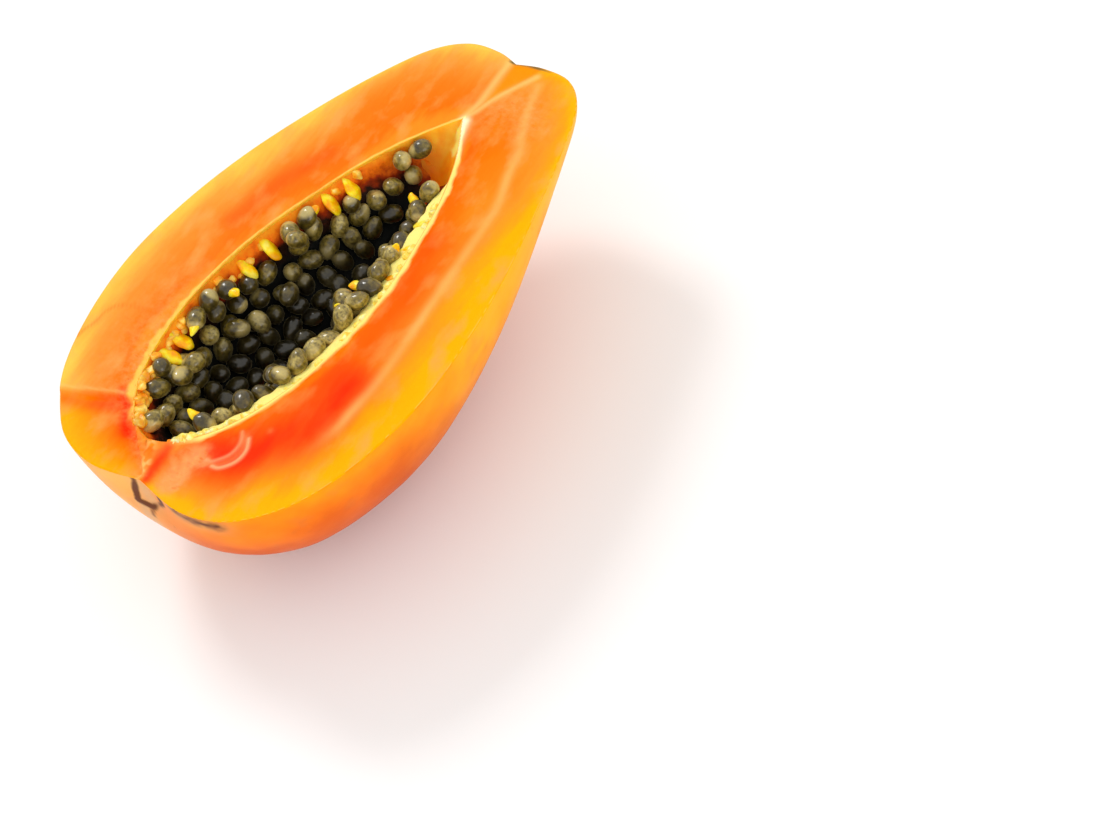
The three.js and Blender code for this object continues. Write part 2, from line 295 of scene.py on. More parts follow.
def cut_face(side):
    """The right half (side 1) or the left half (side -1) of the cut face, and its marks."""
    inward = np.linspace(0, 1, face_columns + 1)[None, :]
    outer = skin[:, :1] if side > 0 else skin[:, -1:]
    inner = cavity_point(stations, 0 if side > 0 else np.pi)
    points = outer + (inner - outer) * inward[..., None]
    flat = points * [1, 1, 0]
    x, along = flat[..., 0], flat[..., 1]
    across = np.linalg.norm(inner - outer, axis=-1)
    from_skin = inward * across
    from_rim = (1 - inward) * across
    off_skin = smooth_step(0, 1.5, from_skin)
    ragged = 0.5 * waver(flat, 3, 13) + 0.25 * waver(flat, 1.2, 14)
    facet = smooth_step(0, 1.2, knife_step["along"] + knife_step["slope"] * x - along)
    facet = facet * (1 - smooth_step(-0.6, 0.6, x - torn_side(along) + ragged))
    broken = smooth_step(5.5, 1.5, distance_to_line(flat, broken_line) + 2.5 * ragged)
    frayed = np.max([
        beside(flat, frayed_line, 6), 0.9 * beside(flat, broken_line, 4), 0.8 * beside(flat, torn_line, 1.8),
    ], axis=0)
    gouge = beside(flat, gouge_line, 1.0) + 0.8 * hill(np.linalg.norm(flat - nick, axis=-1), math.sqrt(0.8))
    # The flap is a raised lip along the gouge. Its pale tint is a painted highlight.
    flap = beside(flat - [1.6, -0.4, 0], gouge_line, 0.6)
    flap = flap + 0.6 * beside(flat + [1.3, -0.5, 0], gouge_line, 0.5)
    wedge_side = 8.1 + (along - 60) * 0.45
    wedge = smooth_step(60, 68, along) * smooth_step(0, 2, x - 6.8) * smooth_step(0, 2, wedge_side - x)

    height = cut_height(x, along)
    height = height - relief["torn"] * facet * beside(flat, torn_line, 3.5) * off_skin
    height = height - relief["broken"] * broken * (1 + 0.7 * waver(flat, 1.6, 22)) * off_skin
    height = height - relief["rounded_edge"] * (1 - smooth_step(0, 0.9, from_skin)) ** 2
    height = height - relief["dips"] * (1 + waver(flat, 18, 3)) * off_skin
    height = height - relief["grain"] * (1 + waver(flat * [1.6, 0.5, 0], 2.6, 4)) * off_skin
    crumbs = 1 + 0.6 * waver(flat, 2.4, 5) + 0.5 * waver(flat, 1.1, 6)
    height = height - relief["frayed"] * frayed * crumbs * off_skin * smooth_step(0, 1.2, from_rim)
    height = height - relief["gouge"] * gouge + relief["flap"] * flap
    height = height - relief["wedge"] * wedge * off_skin
    if side > 0:
        lip = right_lip(flat, from_rim)
        height = height + highest_lip * np.sin(np.pi * stations) * lip
    else:
        lip = left_lip(flat, from_rim)
        height = height + relief["left_lip"] * hill(from_rim - 0.8, 0.6) * np.sin(np.pi * stations)
        crumbly = smooth_step(-25, -40, along) * smooth_step(5.5, 2, from_rim)
        holes = 0.7 + waver(flat, 1.5, 20) + 0.6 * waver(flat, 0.8, 21)
        height = height - relief["crumbly"] * crumbly * holes
    height = np.minimum(height, highest_lip)
    off_rim = smooth_step(0, 0.3, from_rim)
    height = height * off_rim + (1 - off_rim) * inner[..., 2]
    points[..., 2] = np.where(inward > 0, height, points[..., 2])

    peach = np.maximum(0.6 * beside(flat, frayed_line, 13) * (1 - facet), 0.7 * beside(flat, mottled_line, 6))
    warmth = np.max([redness * beside(flat, line, width) for line, width, redness in warm_bands], axis=0)
    marks = {
        "inward": inward ** (1 - 0.45 * smooth_step(15, 55, along)),
        "right_side": np.full_like(height, side > 0),
        "facet": facet,
        "warmth": warmth,
        "wedge": wedge,
        "broken": broken,
        "frayed": np.clip(np.maximum(frayed, peach), 0, 1),
        "hairline": beside(flat + ragged[..., None], hairline, 0.45),
        "vein": veins(flat),
        "gouge": np.clip(gouge, 0, 1),
        "flap": flap,
        "lip": lip + 0 * height,
        "tip": beside(flat, cavity_tip, 1.6),
        "scar": beside(flat, stem_scar_edge, 0.8) * smooth_step(1.2, 0.4, from_skin),
    }
    return points, marks


right_face, right_marks = cut_face(1)
left_face, left_marks = cut_face(-1)

# Cavity wall: smooth, with soft ribs where the seeds' threads leave it
wall = cavity_point(stations, turns(wall_columns))
inward_way = cavity_inward(stations, turns(wall_columns))
ribs = 0.2 * waver(wall * [0.4, 1, 0.4], 3, 9) + 0.1 * waver(wall, 1.4, 10)
ribs = ribs + 0.15 * waver(wall, 1.6, 18) * smooth_step(7, 4, -wall[..., 2])
ribs[:, [0, -1]] = 0
wall = wall + inward_way * ribs[..., None] * smooth_step(0, 2, -wall[..., 2])[..., None]


def sheet_of(points, flip, offset):
    """The corners of the four-sided faces of a grid of points, counted from an offset."""
    rows, columns = points.shape[:2]
    corner = offset + np.arange(rows * columns).reshape(rows, columns)
    around = [corner[:-1, :-1], corner[:-1, 1:], corner[1:, 1:], corner[1:, :-1]]
    if flip:
        around.reverse()
    return np.stack(around, -1).reshape(-1, 4)


def mesh_piece(name, corners, faces, marks, materials, kinds=None):
    """Makes an object of corners in millimetres and their faces, with its marks kept at each corner."""
    weld = 1e-6
    mesh = bpy.data.meshes.new(name)
    mesh.from_pydata(((corners + to_floor) * 0.001).tolist(), [], faces.tolist())
    for mark, values in marks.items():
        kept = mesh.attributes.new(mark, "FLOAT", "POINT")
        kept.data.foreach_set("value", np.ravel(values).astype(np.float32))
    for material in materials:
        mesh.materials.append(material)
    if kinds is not None:
        mesh.polygons.foreach_set("material_index", kinds.astype(np.int32))
    shape = bmesh.new()
    shape.from_mesh(mesh)
    bmesh.ops.remove_doubles(shape, verts=shape.verts, dist=weld)
    bmesh.ops.dissolve_degenerate(shape, edges=shape.edges, dist=weld)
    shape.to_mesh(mesh)
    shape.free()
    mesh.polygons.foreach_set("use_smooth", np.ones(len(mesh.polygons), bool))
    mesh.update()
    piece = bpy.data.objects.new(name, mesh)
    bpy.context.scene.collection.objects.link(piece)
    return piece


def sheet_piece(name, sheets, marks, materials):
    """Joins grids of points into one piece. Each sheet is points, whether it is flipped, and the number
    of its material."""
    offset = 0
    faces, kinds = [], []
    for points, flip, kind in sheets:
        made = sheet_of(points, flip, offset)
        faces.append(made)
        kinds.append(np.full(len(made), kind))
        offset += points.shape[0] * points.shape[1]
    corners = np.concatenate([points.reshape(-1, 3) for points, _, _ in sheets])
    return mesh_piece(name, corners, np.concatenate(faces), marks, materials, np.concatenate(kinds))


def shade(text):
    """A screen colour, such as ff8a1e, as the linear values that shaders take."""
    parts = [int(text[i:i + 2], 16) / 255 for i in (0, 2, 4)]
    return [p / 12.92 if p <= 0.04045 else ((p + 0.055) / 1.055) ** 2.4 for p in parts] + [1.0]


class Finish:
    """A material that is put together node by node on one Principled shader."""

    def __init__(self, name, **settings):
        self.material = bpy.data.materials.new(name)
        self.material.use_nodes = True
        self.tree = self.material.node_tree
        self.shader = self.tree.nodes["Principled BSDF"]
        for socket, value in settings.items():
            self.shader.inputs[socket.replace("_", " ").title().replace("Ior", "IOR")].default_value = value

    def node(self, kind, inputs=(), output=0, **settings):
        made = self.tree.nodes.new(kind)
        for key, value in settings.items():
            setattr(made, key, value)
        for socket, value in dict(inputs).items():
            if isinstance(value, bpy.types.NodeSocket):
                self.tree.links.new(value, made.inputs[socket])
            else:
                made.inputs[socket].default_value = value
        return made.outputs[output]

    def mark(self, name):
        return self.node("ShaderNodeAttribute", attribute_name=name, output="Fac")

    def noise(self, size, detail, stretch=(1, 1, 1)):
        """Noise with lumps of the given size in millimetres, stretched by a factor along each axis."""
        place = self.node("ShaderNodeTexCoord", output="Object")
        scale = [1000 / size / s for s in stretch]
        scaled = self.node("ShaderNodeMapping", {"Vector": place, "Scale": scale})
        return self.node("ShaderNodeTexNoise", {"Vector": scaled, "Scale": 1.0, "Detail": detail})

    def maths(self, operation, a, b, clamp=False):
        return self.node("ShaderNodeMath", {0: a, 1: b}, operation=operation, use_clamp=clamp)

    def plus(self, a, b, share):
        """A value with a share of another added to it."""
        return self.maths("ADD", a, self.maths("MULTIPLY", b, share))

    def uneven(self, value, noise, strength):
        """A value that a noise makes waver by up to half the strength, up and down."""
        return self.plus(value, self.maths("SUBTRACT", noise, 0.5), strength)

    def mix(self, share, a, b):
        return self.node("ShaderNodeMix", {0: share, 6: a, 7: b}, output=2, data_type="RGBA")

    def tint(self, colour, share, strength, tint):
        """A colour with a strength of a tint mixed in, as far as a mark or another share says."""
        if isinstance(share, str):
            share = self.mark(share)
        return self.mix(self.maths("MULTIPLY", share, strength), colour, shade(tint))

    def ramp(self, value, stops):
        made = self.tree.nodes.new("ShaderNodeValToRGB")
        self.tree.links.new(value, made.inputs[0])
        elements = made.color_ramp.elements
        while len(elements) < len(stops):
            elements.new(0.5)
        for element, (place, colour) in zip(elements, stops):
            element.position = place
            element.color = shade(colour)
        return made.outputs[0]

    def colour(self, value):
        self.tree.links.new(value, self.shader.inputs["Base Color"])

    def roughness(self, value):
        self.tree.links.new(value, self.shader.inputs["Roughness"])

    def bump(self, height, strength, distance_mm):
        made = self.node(
            "ShaderNodeBump", {"Height": height, "Strength": strength, "Distance": distance_mm / 1000})
        self.tree.links.new(made, self.shader.inputs["Normal"])


# Flesh as it shows in the cut face: yellow under the skin and deep orange towards the cavity
flesh = Finish(
    "Papaya flesh", subsurface_weight=0.12, subsurface_radius=(1.0, 0.3, 0.05), subsurface_scale=0.003,
    specular_ior_level=0.06, specular_tint=(1.0, 0.5, 0.15, 1.0))
cloud = flesh.noise(13, 3, (0.8, 2.4, 1))
fibre = flesh.noise(2.2, 5, (0.6, 3.5, 1))
inward_place = flesh.uneven(flesh.uneven(flesh.mark("inward"), cloud, 0.5), fibre, 0.14)
left_colour = flesh.ramp(inward_place, [
    (0.0, "fcc24a"), (0.1, "fdb542"), (0.25, "fe9a38"), (0.4, "fe8828"), (0.6, "fe7814"), (0.8, "fd6e04"),
    (0.95, "fc8a1c")])
right_colour = flesh.ramp(inward_place, [
    (0.0, "feae00"), (0.14, "feac00"), (0.26, "fe9c14"), (0.4, "fc9024"), (0.6, "fe7e10"), (0.75, "fe7400"),
    (0.9, "fe6c00"), (0.97, "fc8000")])
facet_colour = flesh.ramp(inward_place, [
    (0.0, "fea800"), (0.3, "fe9200"), (0.6, "fe7200"), (0.85, "fc5a04"), (1.0, "fe7a20")])
face_colour = flesh.mix(flesh.mark("right_side"), left_colour, right_colour)
face_colour = flesh.mix(flesh.mark("facet"), face_colour, facet_colour)
uneven_warmth = flesh.maths("MULTIPLY", flesh.mark("warmth"), flesh.maths("ADD", 0.5, cloud), True)
face_colour = flesh.mix(uneven_warmth, face_colour, shade("ff2a00"))
mottle = flesh.ramp(flesh.noise(8, 4, (0.8, 1.6, 1)), [(0.5, "000000"), (0.7, "ffffff")])
cool_mottle = flesh.maths("MULTIPLY", mottle, flesh.maths("SUBTRACT", 1.0, flesh.mark("warmth")))
face_colour = flesh.tint(face_colour, cool_mottle, 0.6, "ffa050")
face_colour = flesh.tint(face_colour, "wedge", 0.85, "f48c00")
face_colour = flesh.tint(face_colour, "broken", 0.7, "ff9a5c")
crumb = flesh.ramp(flesh.noise(1.6, 4), [(0.3, "404040"), (0.7, "ffffff")])
face_colour = flesh.tint(face_colour, flesh.maths("MULTIPLY", flesh.mark("frayed"), crumb), 0.75, "ffa45c")
face_colour = flesh.tint(face_colour, "hairline", 0.6, "dc7420")
fleck = flesh.ramp(flesh.noise(1.1, 3, (2.5, 1, 1)), [(0.6, "000000"), (0.7, "ffffff")])
face_colour = flesh.tint(face_colour, flesh.maths("MULTIPLY", flesh.mark("frayed"), fleck), 0.6, "c86418")
face_colour = flesh.tint(face_colour, "vein", 0.7, "ffc470")
face_colour = flesh.tint(face_colour, "gouge", 0.45, "ff8a4c")
# Painted highlight: a pale line along the gouge's lips, where the wet flesh catches the light
face_colour = flesh.tint(face_colour, "flap", 0.75, "ffb880")
lip_colour = flesh.mix(flesh.mark("right_side"), shade("ffc858"), shade("ffe880"))
face_colour = flesh.mix(flesh.maths("MULTIPLY", flesh.mark("lip"), 0.9), face_colour, lip_colour)
face_colour = flesh.tint(face_colour, "tip", 1.0, "fff6c8")
face_colour = flesh.tint(face_colour, "scar", 1.0, "6a6038")
flesh.colour(face_colour)
flesh.roughness(flesh.plus(0.32, fibre, 0.25))
flesh.bump(flesh.plus(flesh.noise(0.9, 4, (0.7, 2, 1)), fibre, 0.8), 0.15, 0.3)

# Skin: thin, waxy and smooth, yellow at the cut edge and deeper orange underneath. The darkening towards the
# bottom is partly its own colour and partly painted shade.
peel = Finish(
    "Papaya skin", subsurface_weight=0.06, subsurface_radius=(1.0, 0.3, 0.05), subsurface_scale=0.003,
    specular_ior_level=0.08, specular_tint=(1.0, 0.6, 0.2, 1.0))
blotch = peel.noise(16, 4)
depth_place = peel.uneven(peel.mark("depth"), blotch, 0.5)
# Partly painted shade: the peel darkens with depth below the cut face, towards its underside
yellow_peel = peel.ramp(depth_place, [(0.0, "feb400"), (0.2, "fea800"), (0.5, "ee7c00"), (1.0, "cc5400")])
deep_peel = peel.ramp(depth_place, [
    (0.0, "fc9400"), (0.15, "f87e00"), (0.35, "e06000"), (0.7, "c44800"), (1.0, "b03c00")])
pale_peel = peel.ramp(depth_place, [(0.0, "feb454"), (0.3, "f8a450"), (0.6, "e88830"), (1.0, "d87018")])
peel_colour = peel.mix(peel.mark("deep_end"), yellow_peel, deep_peel)
peel_colour = peel.mix(peel.mark("pale_end"), peel_colour, pale_peel)
bruise = peel.ramp(peel.noise(9, 5), [(0.56, "000000"), (0.72, "ffffff")])
peel_colour = peel.tint(peel_colour, bruise, 0.22, "c0643c")
dots = peel.ramp(peel.noise(2.0, 5), [(0.66, "000000"), (0.74, "ffffff")])
peel_colour = peel.tint(peel_colour, dots, 0.3, "c4741c")
peel_colour = peel.tint(peel_colour, "green_end", 0.6, "b0a03a")
peel_colour = peel.tint(peel_colour, "tan", 0.8, "d8a878")
peel_colour = peel.tint(peel_colour, "scar", 1.0, "66300e")
peel.colour(peel_colour)
peel.roughness(peel.plus(0.32, blotch, 0.2))
peel.bump(peel.plus(peel.noise(1.6, 4), peel.mark("scar"), -1.0), 0.12, 0.3)

# Cavity wall: wet and orange, and deeper in colour further down
lining = Finish(
    "Papaya cavity wall", roughness=0.4, subsurface_weight=0.5, subsurface_radius=(1.0, 0.35, 0.08),
    subsurface_scale=0.007, specular_ior_level=0.1)
streak = lining.noise(5, 4, (0.5, 1, 2.5))
lining_colour = lining.ramp(lining.plus(lining.mark("depth"), streak, 0.5), [
    (0.2, "ffbc34"), (0.4, "ff9c18"), (0.7, "ff7400"), (1.0, "c84000")])
lining.colour(lining.tint(lining_colour, "pale", 1.0, "ffe070"))
lining.bump(streak, 0.3, 0.4)

# Marks on the skin: a crack with two branches and a scuff at the blossom end, and the scar of the stem
crack = [
    [-2.0, -86.3, 0.0], [-3.2, -86.5, -5.5], [-4.2, -86.8, -10.8], [1.0, -86.9, -10.8], [6.6, -86.8, -5.1],
    [7.6, -86.8, -1.4],
]
branches = [
    [[1.0, -86.9, -10.8], [-0.2, -87.2, -15.2]], [[0.5, -86.6, 0.0], [1.5, -86.8, -4.0], [5.0, -86.8, -4.6]],
]
scuff = [[13.5, -87.4, -1.0], [19.0, -87.0, -2.5], [25.6, -85.0, -3.0]]
stem_edge = [[6.4, 80.4, -0.4], [12.8, 82.0, -0.4], [19.5, 81.5, -0.4]]
under_crack = [[-2.4, -87.2, -13.0], [-2.6, -87.1, -21.3]]
inside_crack = [[0, -86.8, -3.0], [1, -87.0, -8.0]]
stem_ring = {"radius": 4.6, "width": 1.2}

stem_ring_share = hill(to_stem_scar - stem_ring["radius"] + 0.9 * waver(skin, 2.5, 23), stem_ring["width"])
scar = np.max([
    smooth_step(1.6, 0.8, distance_to_line(skin, crack) + 0.3 * waver(skin, 2.5, 15)),
    *(0.8 * smooth_step(1.1, 0.3, distance_to_line(skin, branch)) for branch in branches),
    beside(skin, scuff, 2.4) * (0.75 + 0.4 * waver(skin, 1.5, 11)),
    beside(skin, stem_edge, 1.1),
    (0.6 + 0.3 * waver(skin, 1.8, 24)) * stem_ring_share,
    0.5 * smooth_step(0.1, 0.5, waver(skin, 1.2, 25)) * smooth_step(4.5, 3, to_stem_scar),
], axis=0)
skin_marks = {
    # Depth below the cut face, which darkens the peel, partly as painted shade
    "depth": np.clip(-skin[..., 2] / rest_depth, 0, 1),
    "pale_end": smooth_step(20, -10, skin[..., 0]) * smooth_step(-40, -75, skin[..., 1]),
    "deep_end": smooth_step(5, -50, skin[..., 1]),
    "green_end": smooth_step(14, 5, to_stem_scar),
    "tan": np.max([
        beside(skin, under_crack, 3), beside(skin, inside_crack, 4), 0.5 * beside(skin, scuff, 4),
        0.9 * hill(to_stem_scar, 4.5)], axis=0),
    "scar": np.clip(scar, 0, 1),
}
dark_depth = 24
pale_depth = 5 + 2 * waver(wall, 3, 16) + waver(wall, 1.2, 17)
pale_wall = smooth_step(pale_depth + 1, pale_depth - 1, -wall[..., 2]) * smooth_step(-72, -60, wall[..., 1])
on_the_right = wall[..., 0] > cavity_middle(wall[..., 1])
wall_marks = {
    "depth": np.clip(-wall[..., 2] / dark_depth, 0, 1) * smooth_step(56, 36, wall[..., 1]),
    "pale": pale_wall * on_the_right,
}

sheets = [(skin, True, 0), (right_face, False, 1), (left_face, True, 1), (wall, False, 2)]
sheet_marks = [skin_marks, right_marks, left_marks, wall_marks]
body_marks = {}
for mark in sorted(set().union(*sheet_marks)):
    body_marks[mark] = np.concatenate([
        np.broadcast_to(marks.get(mark, 0), points.shape[:2]).ravel()
        for (points, _, _), marks in zip(sheets, sheet_marks)])
body_materials = [peel.material, flesh.material, lining.material]
papaya = sheet_piece("papaya_flesh_and_skin", sheets, body_marks, body_materials)
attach(papaya, "root")
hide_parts("papaya_half")

# The yellow tags, ends of the soft threads that fed the seeds. They are flesh, brighter and wetter than the
# rest, and they grew out of the wall just under the cut face, where the knife freed them. Crumbs of torn
# pulp cling along both rims, orange on the left and pale on the right.
tag_length = 9
tag_width = 5
tag_thickness = 2.6
tag_places = [
    [0.37, "left"], [0.41, "left"], [0.58, "left"], [0.63, "left"], [0.75, "left"], [0.79, "left"],
    [0.38, "right"], [0.43, "right"], [0.67, "right"], [0.73, "right"], [0.78, "right"],
]
tag_angle = 0.14
tag_droop = 0.7
tag_stand = 0.3
highest_pulp = lip_height / 2
crumb_count = 130
crumb_width = (2, 4.5)
crumb_thickness = (1.4, 2.8)
crumb_length = (3, 4.5)
crumb_stand = 0.7
crumb_stretch = {"frayed rim": (0.12, 0.46), "whole rim": (0.12, 0.82)}
crumb_turn = {"left": (0.985, 0.925), "right": (0.015, 0.065)}
crumb_mark = {"left": 1.0, "right": 0.5}
first_crumb_draw = 900
draws_per_crumb = 7


def draw(number):
    """A value from 0 to 1 that depends only on its number, so that all falls the same way each time."""
    value = math.sin(number * 12.9898) * 43758.5453
    return value - math.floor(value)


def between(ends, share):
    return ends[0] + (ends[1] - ends[0]) * share


def egg(width, thickness, length, bands, sides, taper):
    """Corners and faces of an egg along +Y, for a seed, a tag or a crumb."""
    up = np.linspace(0, np.pi, bands + 1)
    y = -0.5 * np.cos(up)[:, None] + np.zeros((1, sides))
    turn = np.linspace(0, 2 * np.pi, sides, endpoint=False)[None, :]
    spread = 0.5 * np.sin(up)[:, None] * (1 + taper * y)
    corners = np.stack([spread * np.cos(turn) * width, y * length, spread * np.sin(turn) * thickness], -1)
    number = np.arange((bands + 1) * sides).reshape(bands + 1, sides)
    after = np.roll(number, -1, axis=1)
    faces = np.stack([number[:-1], number[1:], after[1:], after[:-1]], -1).reshape(-1, 4)
    return corners.reshape(-1, 3), faces


def turned(corners, centre, direction):
    """Turns corners so that +Y points in a direction, by the shortest way, and moves them to a centre."""
    x, y, z = direction
    turn = np.array([
        [1 - x * x / (1 + y), x, -x * z / (1 + y)],
        [-x, y, -z],
        [-x * z / (1 + y), z, 1 - z * z / (1 + y)],
    ])
    return corners @ turn.T + centre


def lumpy(corners, strength, size, number):
    """Moves corners by up to a strength in each direction, in lumps of a size."""
    return corners + strength * np.stack([waver(corners, size, number + k) for k in range(3)], -1)


def kept_below(corners, top):
    """Lowers corners as far as needed, so that none stands above a height."""
    return corners - [0, 0, max(0, corners[:, 2].max() - top)]


def bunch_piece(name, bodies, marks, material):
    """Makes one piece of separate bodies, each its corners and faces. A mark has a value for each body,
    or values for each of its corners."""
    starts = np.cumsum([0] + [len(corners) for corners, _ in bodies])
    all_corners = np.concatenate([corners for corners, _ in bodies])
    all_faces = np.concatenate([faces + start for (_, faces), start in zip(bodies, starts)])
    all_marks = {}
    for mark, values in marks.items():
        spread = [np.broadcast_to(value, len(corners)) for value, (corners, _) in zip(values, bodies)]
        all_marks[mark] = np.concatenate(spread)
    return mesh_piece(name, all_corners, all_faces, all_marks, [material])


pulp = Finish(
    "Papaya tag pulp", roughness=0.3, subsurface_weight=0.3, subsurface_radius=(1.0, 0.6, 0.1),
    subsurface_scale=0.002, specular_ior_level=0.3)
tag_colour = pulp.ramp(pulp.noise(4, 3), [
    (0.35, "ff9c08"), (0.48, "ffc000"), (0.56, "ffdc10"), (0.75, "fff070")])
orange_crumb = pulp.ramp(pulp.noise(3, 4), [(0.35, "ff8c08"), (0.5, "ffac20"), (0.65, "ffd060")])
pale_crumb = pulp.ramp(pulp.noise(2, 4), [(0.35, "ffc030"), (0.5, "ffe060"), (0.65, "fff4a8")])
is_crumb = pulp.maths("GREATER_THAN", pulp.mark("crumb"), 0.25)
is_orange = pulp.maths("GREATER_THAN", pulp.mark("crumb"), 0.75)
pulp.colour(pulp.mix(is_crumb, tag_colour, pulp.mix(is_orange, pale_crumb, orange_crumb)))
pulp.bump(pulp.noise(0.8, 3), 0.3, 0.3)

tag_centres, pulp_bodies, crumb_marks = [], [], []
for number, (station, side) in enumerate(tag_places):
    angle = np.array(tag_angle if side == "right" else np.pi - tag_angle)
    direction = cavity_inward(np.array(station), angle) + [0, 0, -tag_droop]
    direction = direction / np.linalg.norm(direction)
    centre = cavity_point(np.array(station), angle) + direction * tag_length * tag_stand
    corners, faces = egg(tag_width, tag_thickness, tag_length, 16, 20, 0.25)
    corners = lumpy(turned(corners, centre, direction), 0.35, 2.2, 20 + 3 * number)
    tag_centres.append(centre)
    pulp_bodies.append((kept_below(corners, highest_pulp), faces))
    crumb_marks.append(0.0)

for number in range(crumb_count):
    share = [draw(first_crumb_draw + draws_per_crumb * number + k) for k in range(5)]
    side = "right" if number % 2 else "left"
    on_frayed_rim = side == "left" and number % 6 > 0
    station = np.array(between(crumb_stretch["frayed rim" if on_frayed_rim else "whole rim"], share[0]))
    angle = np.array(np.pi * between(crumb_turn[side], share[1]))
    direction = cavity_inward(station, angle) + [0, between((-0.4, 0.4), share[2]), -0.8 * share[3]]
    direction = direction / np.linalg.norm(direction)
    corners, faces = egg(
        between(crumb_width, share[2]), between(crumb_thickness, share[3]), between(crumb_length, share[1]),
        12, 14, 0.25)
    corners = turned(corners, cavity_point(station, angle) + direction * crumb_stand, direction)
    pulp_bodies.append((kept_below(lumpy(corners, 0.5, 1.5, 60), highest_pulp), faces))
    crumb_marks.append(crumb_mark[side])

tags = bunch_piece("papaya_tags", pulp_bodies, {"crumb": crumb_marks}, pulp.material)
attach(tags, "root")

# The seeds. Each is a dark wrinkled kernel in a thin glassy skin of jelly, and hangs by a short thread from
# the wall. They stand in rows, in a bank on each side of the groove along the cavity's floor.
seed_length = 7.6
seed_width = 5.7
seed_thickness = 5.2
seed_taper = 0.2
seed_wrinkles = 0.04
seed_pitch = 6.3
seed_stand = 1.6
upper_seed_rise = 4
upper_seed_share = 0.2
membrane_gap = 0.9
seed_banks = {
    "left": {
        "side": -1, "from": 0.5, "to": 1, "start": 0.11, "end": 0.93, "thickness": 0.8, "first": 1},
    "right": {
        "side": 1, "from": 0.01, "to": 0.46, "start": 0.11, "end": 0.92, "thickness": 4.2, "first": 5001},
}
groove_offset = 1.5
groove_half_width = 3.8
highest_seed_centre = -1.6
highest_top = 0.5
tag_room = 4.4
rim_room = 0.02
full_thickness_radius = 20
draws_per_seed = 7


def bed_rise(station, thickness):
    """How far the top of the membrane lies from the wall."""
    radius = along_curve(cavity_profile, station)[..., 0]
    return membrane_gap + thickness * np.minimum(1, radius / full_thickness_radius)


def row_stations(start, end):
    """Stations that lie one seed pitch apart along the wall."""
    steps = 400
    fine = start + (end - start) * np.arange(steps + 1) / steps
    points = along_curve(cavity_profile, fine)
    made = []
    travelled = seed_pitch / 2
    for i in range(1, steps + 1):
        travelled += np.linalg.norm(points[i] - points[i - 1])
        if travelled >= seed_pitch:
            made.append(fine[i])
            travelled -= seed_pitch
    return made


def row_length(station, low, high):
    steps = 24
    angles = (low + (high - low) * np.arange(steps + 1) / steps) * np.pi
    points = cavity_point(np.full(steps + 1, station), angles)
    return np.linalg.norm(np.diff(points, axis=0), axis=1).sum()


def seed_pose(station, angle, rise, number):
    outwards = 0.4
    sidewards = 1.6
    inward = cavity_inward(np.array(station), np.array(angle))
    lean = np.array([draw(number + k) for k in range(3)]) - 0.5
    lean = lean * sidewards + inward * outwards
    return cavity_point(np.array(station), np.array(angle)) + inward * rise, lean / np.linalg.norm(lean)


def has_room(centre, side):
    """Whether a seed stays below the cut face, off the tags and on its own side of the groove."""
    off_tags = all(np.linalg.norm(tag - centre) > tag_room for tag in tag_centres)
    from_groove = side * (centre[0] - cavity_middle(centre[1]) - groove_offset)
    return off_tags and from_groove > groove_half_width and centre[2] < highest_seed_centre


def seed_poses(bank):
    """The centre and direction of each seed of a bank, row by row, with a few seeds on top of others."""
    stagger = 0.2
    place_spread = 0.3
    rise_spread = 0.8
    made = []
    number = bank["first"]
    low, high, side = bank["from"], bank["to"], bank["side"]
    for row, station in enumerate(row_stations(bank["start"], bank["end"])):
        count = max(1, math.floor(row_length(station, low, high) / seed_pitch + 0.5))
        for i in range(count):
            number += draws_per_seed
            shift = (stagger if row % 2 else -stagger) + place_spread * (draw(number + 3) - 0.5)
            turn = low + (high - low) * (i + 0.5 + shift) / count
            angle = min(1 - rim_room, max(rim_room, turn)) * math.pi
            rise = bed_rise(np.array(station), bank["thickness"]) + seed_stand
            rise = rise + rise_spread * (draw(number + 4) - 0.5)
            centre, direction = seed_pose(station, angle, rise, number)
            upper, upper_direction = seed_pose(station, angle, rise + upper_seed_rise, number + 0.5)
            if not has_room(centre, side):
                continue
            made.append((centre, direction))
            if has_room(upper, side) and draw(number + 5) < upper_seed_share:
                made.append((upper, upper_direction))
    return made


jelly = Finish(
    "Papaya seed", roughness=0.4, specular_ior_level=0.3, coat_weight=0.9, coat_roughness=0.14,
    coat_tint=(1.0, 0.95, 0.8, 1.0), sheen_weight=0.3, sheen_roughness=0.3, sheen_tint=(1.0, 0.85, 0.45, 1.0))
wrinkle = jelly.noise(1.0, 3)
patch = jelly.noise(3.0, 3)
seed_place = jelly.plus(jelly.maths("MULTIPLY", patch, 0.7), jelly.mark("kind"), 0.35)
seed_colour = jelly.ramp(seed_place, [(0.25, "241c04"), (0.42, "4c400c"), (0.6, "8c7a30"), (0.8, "d0be74")])
folds = jelly.ramp(wrinkle, [(0.36, "d0d0d0"), (0.58, "000000")])
seed_colour = jelly.mix(folds, seed_colour, shade("1c1504"))
rind_share = jelly.ramp(jelly.plus(jelly.mark("rind"), patch, 0.3), [(0.7, "000000"), (1.0, "c8c8c8")])
seed_colour = jelly.mix(rind_share, seed_colour, shade("d8c684"))
# Painted shade: each seed is mixed towards near black by its depth, so the lower seeds and the undersides of
# seeds are darkest. This stands in for the shade deep in the cavity.
painted_shadow = jelly.ramp(jelly.mark("depth"), [(0.3, "000000"), (0.5, "b0b0b0"), (0.7, "f4f4f4")])
jelly.colour(jelly.mix(painted_shadow, seed_colour, shade("0c0802")))
jelly.bump(wrinkle, 0.6, 0.4)

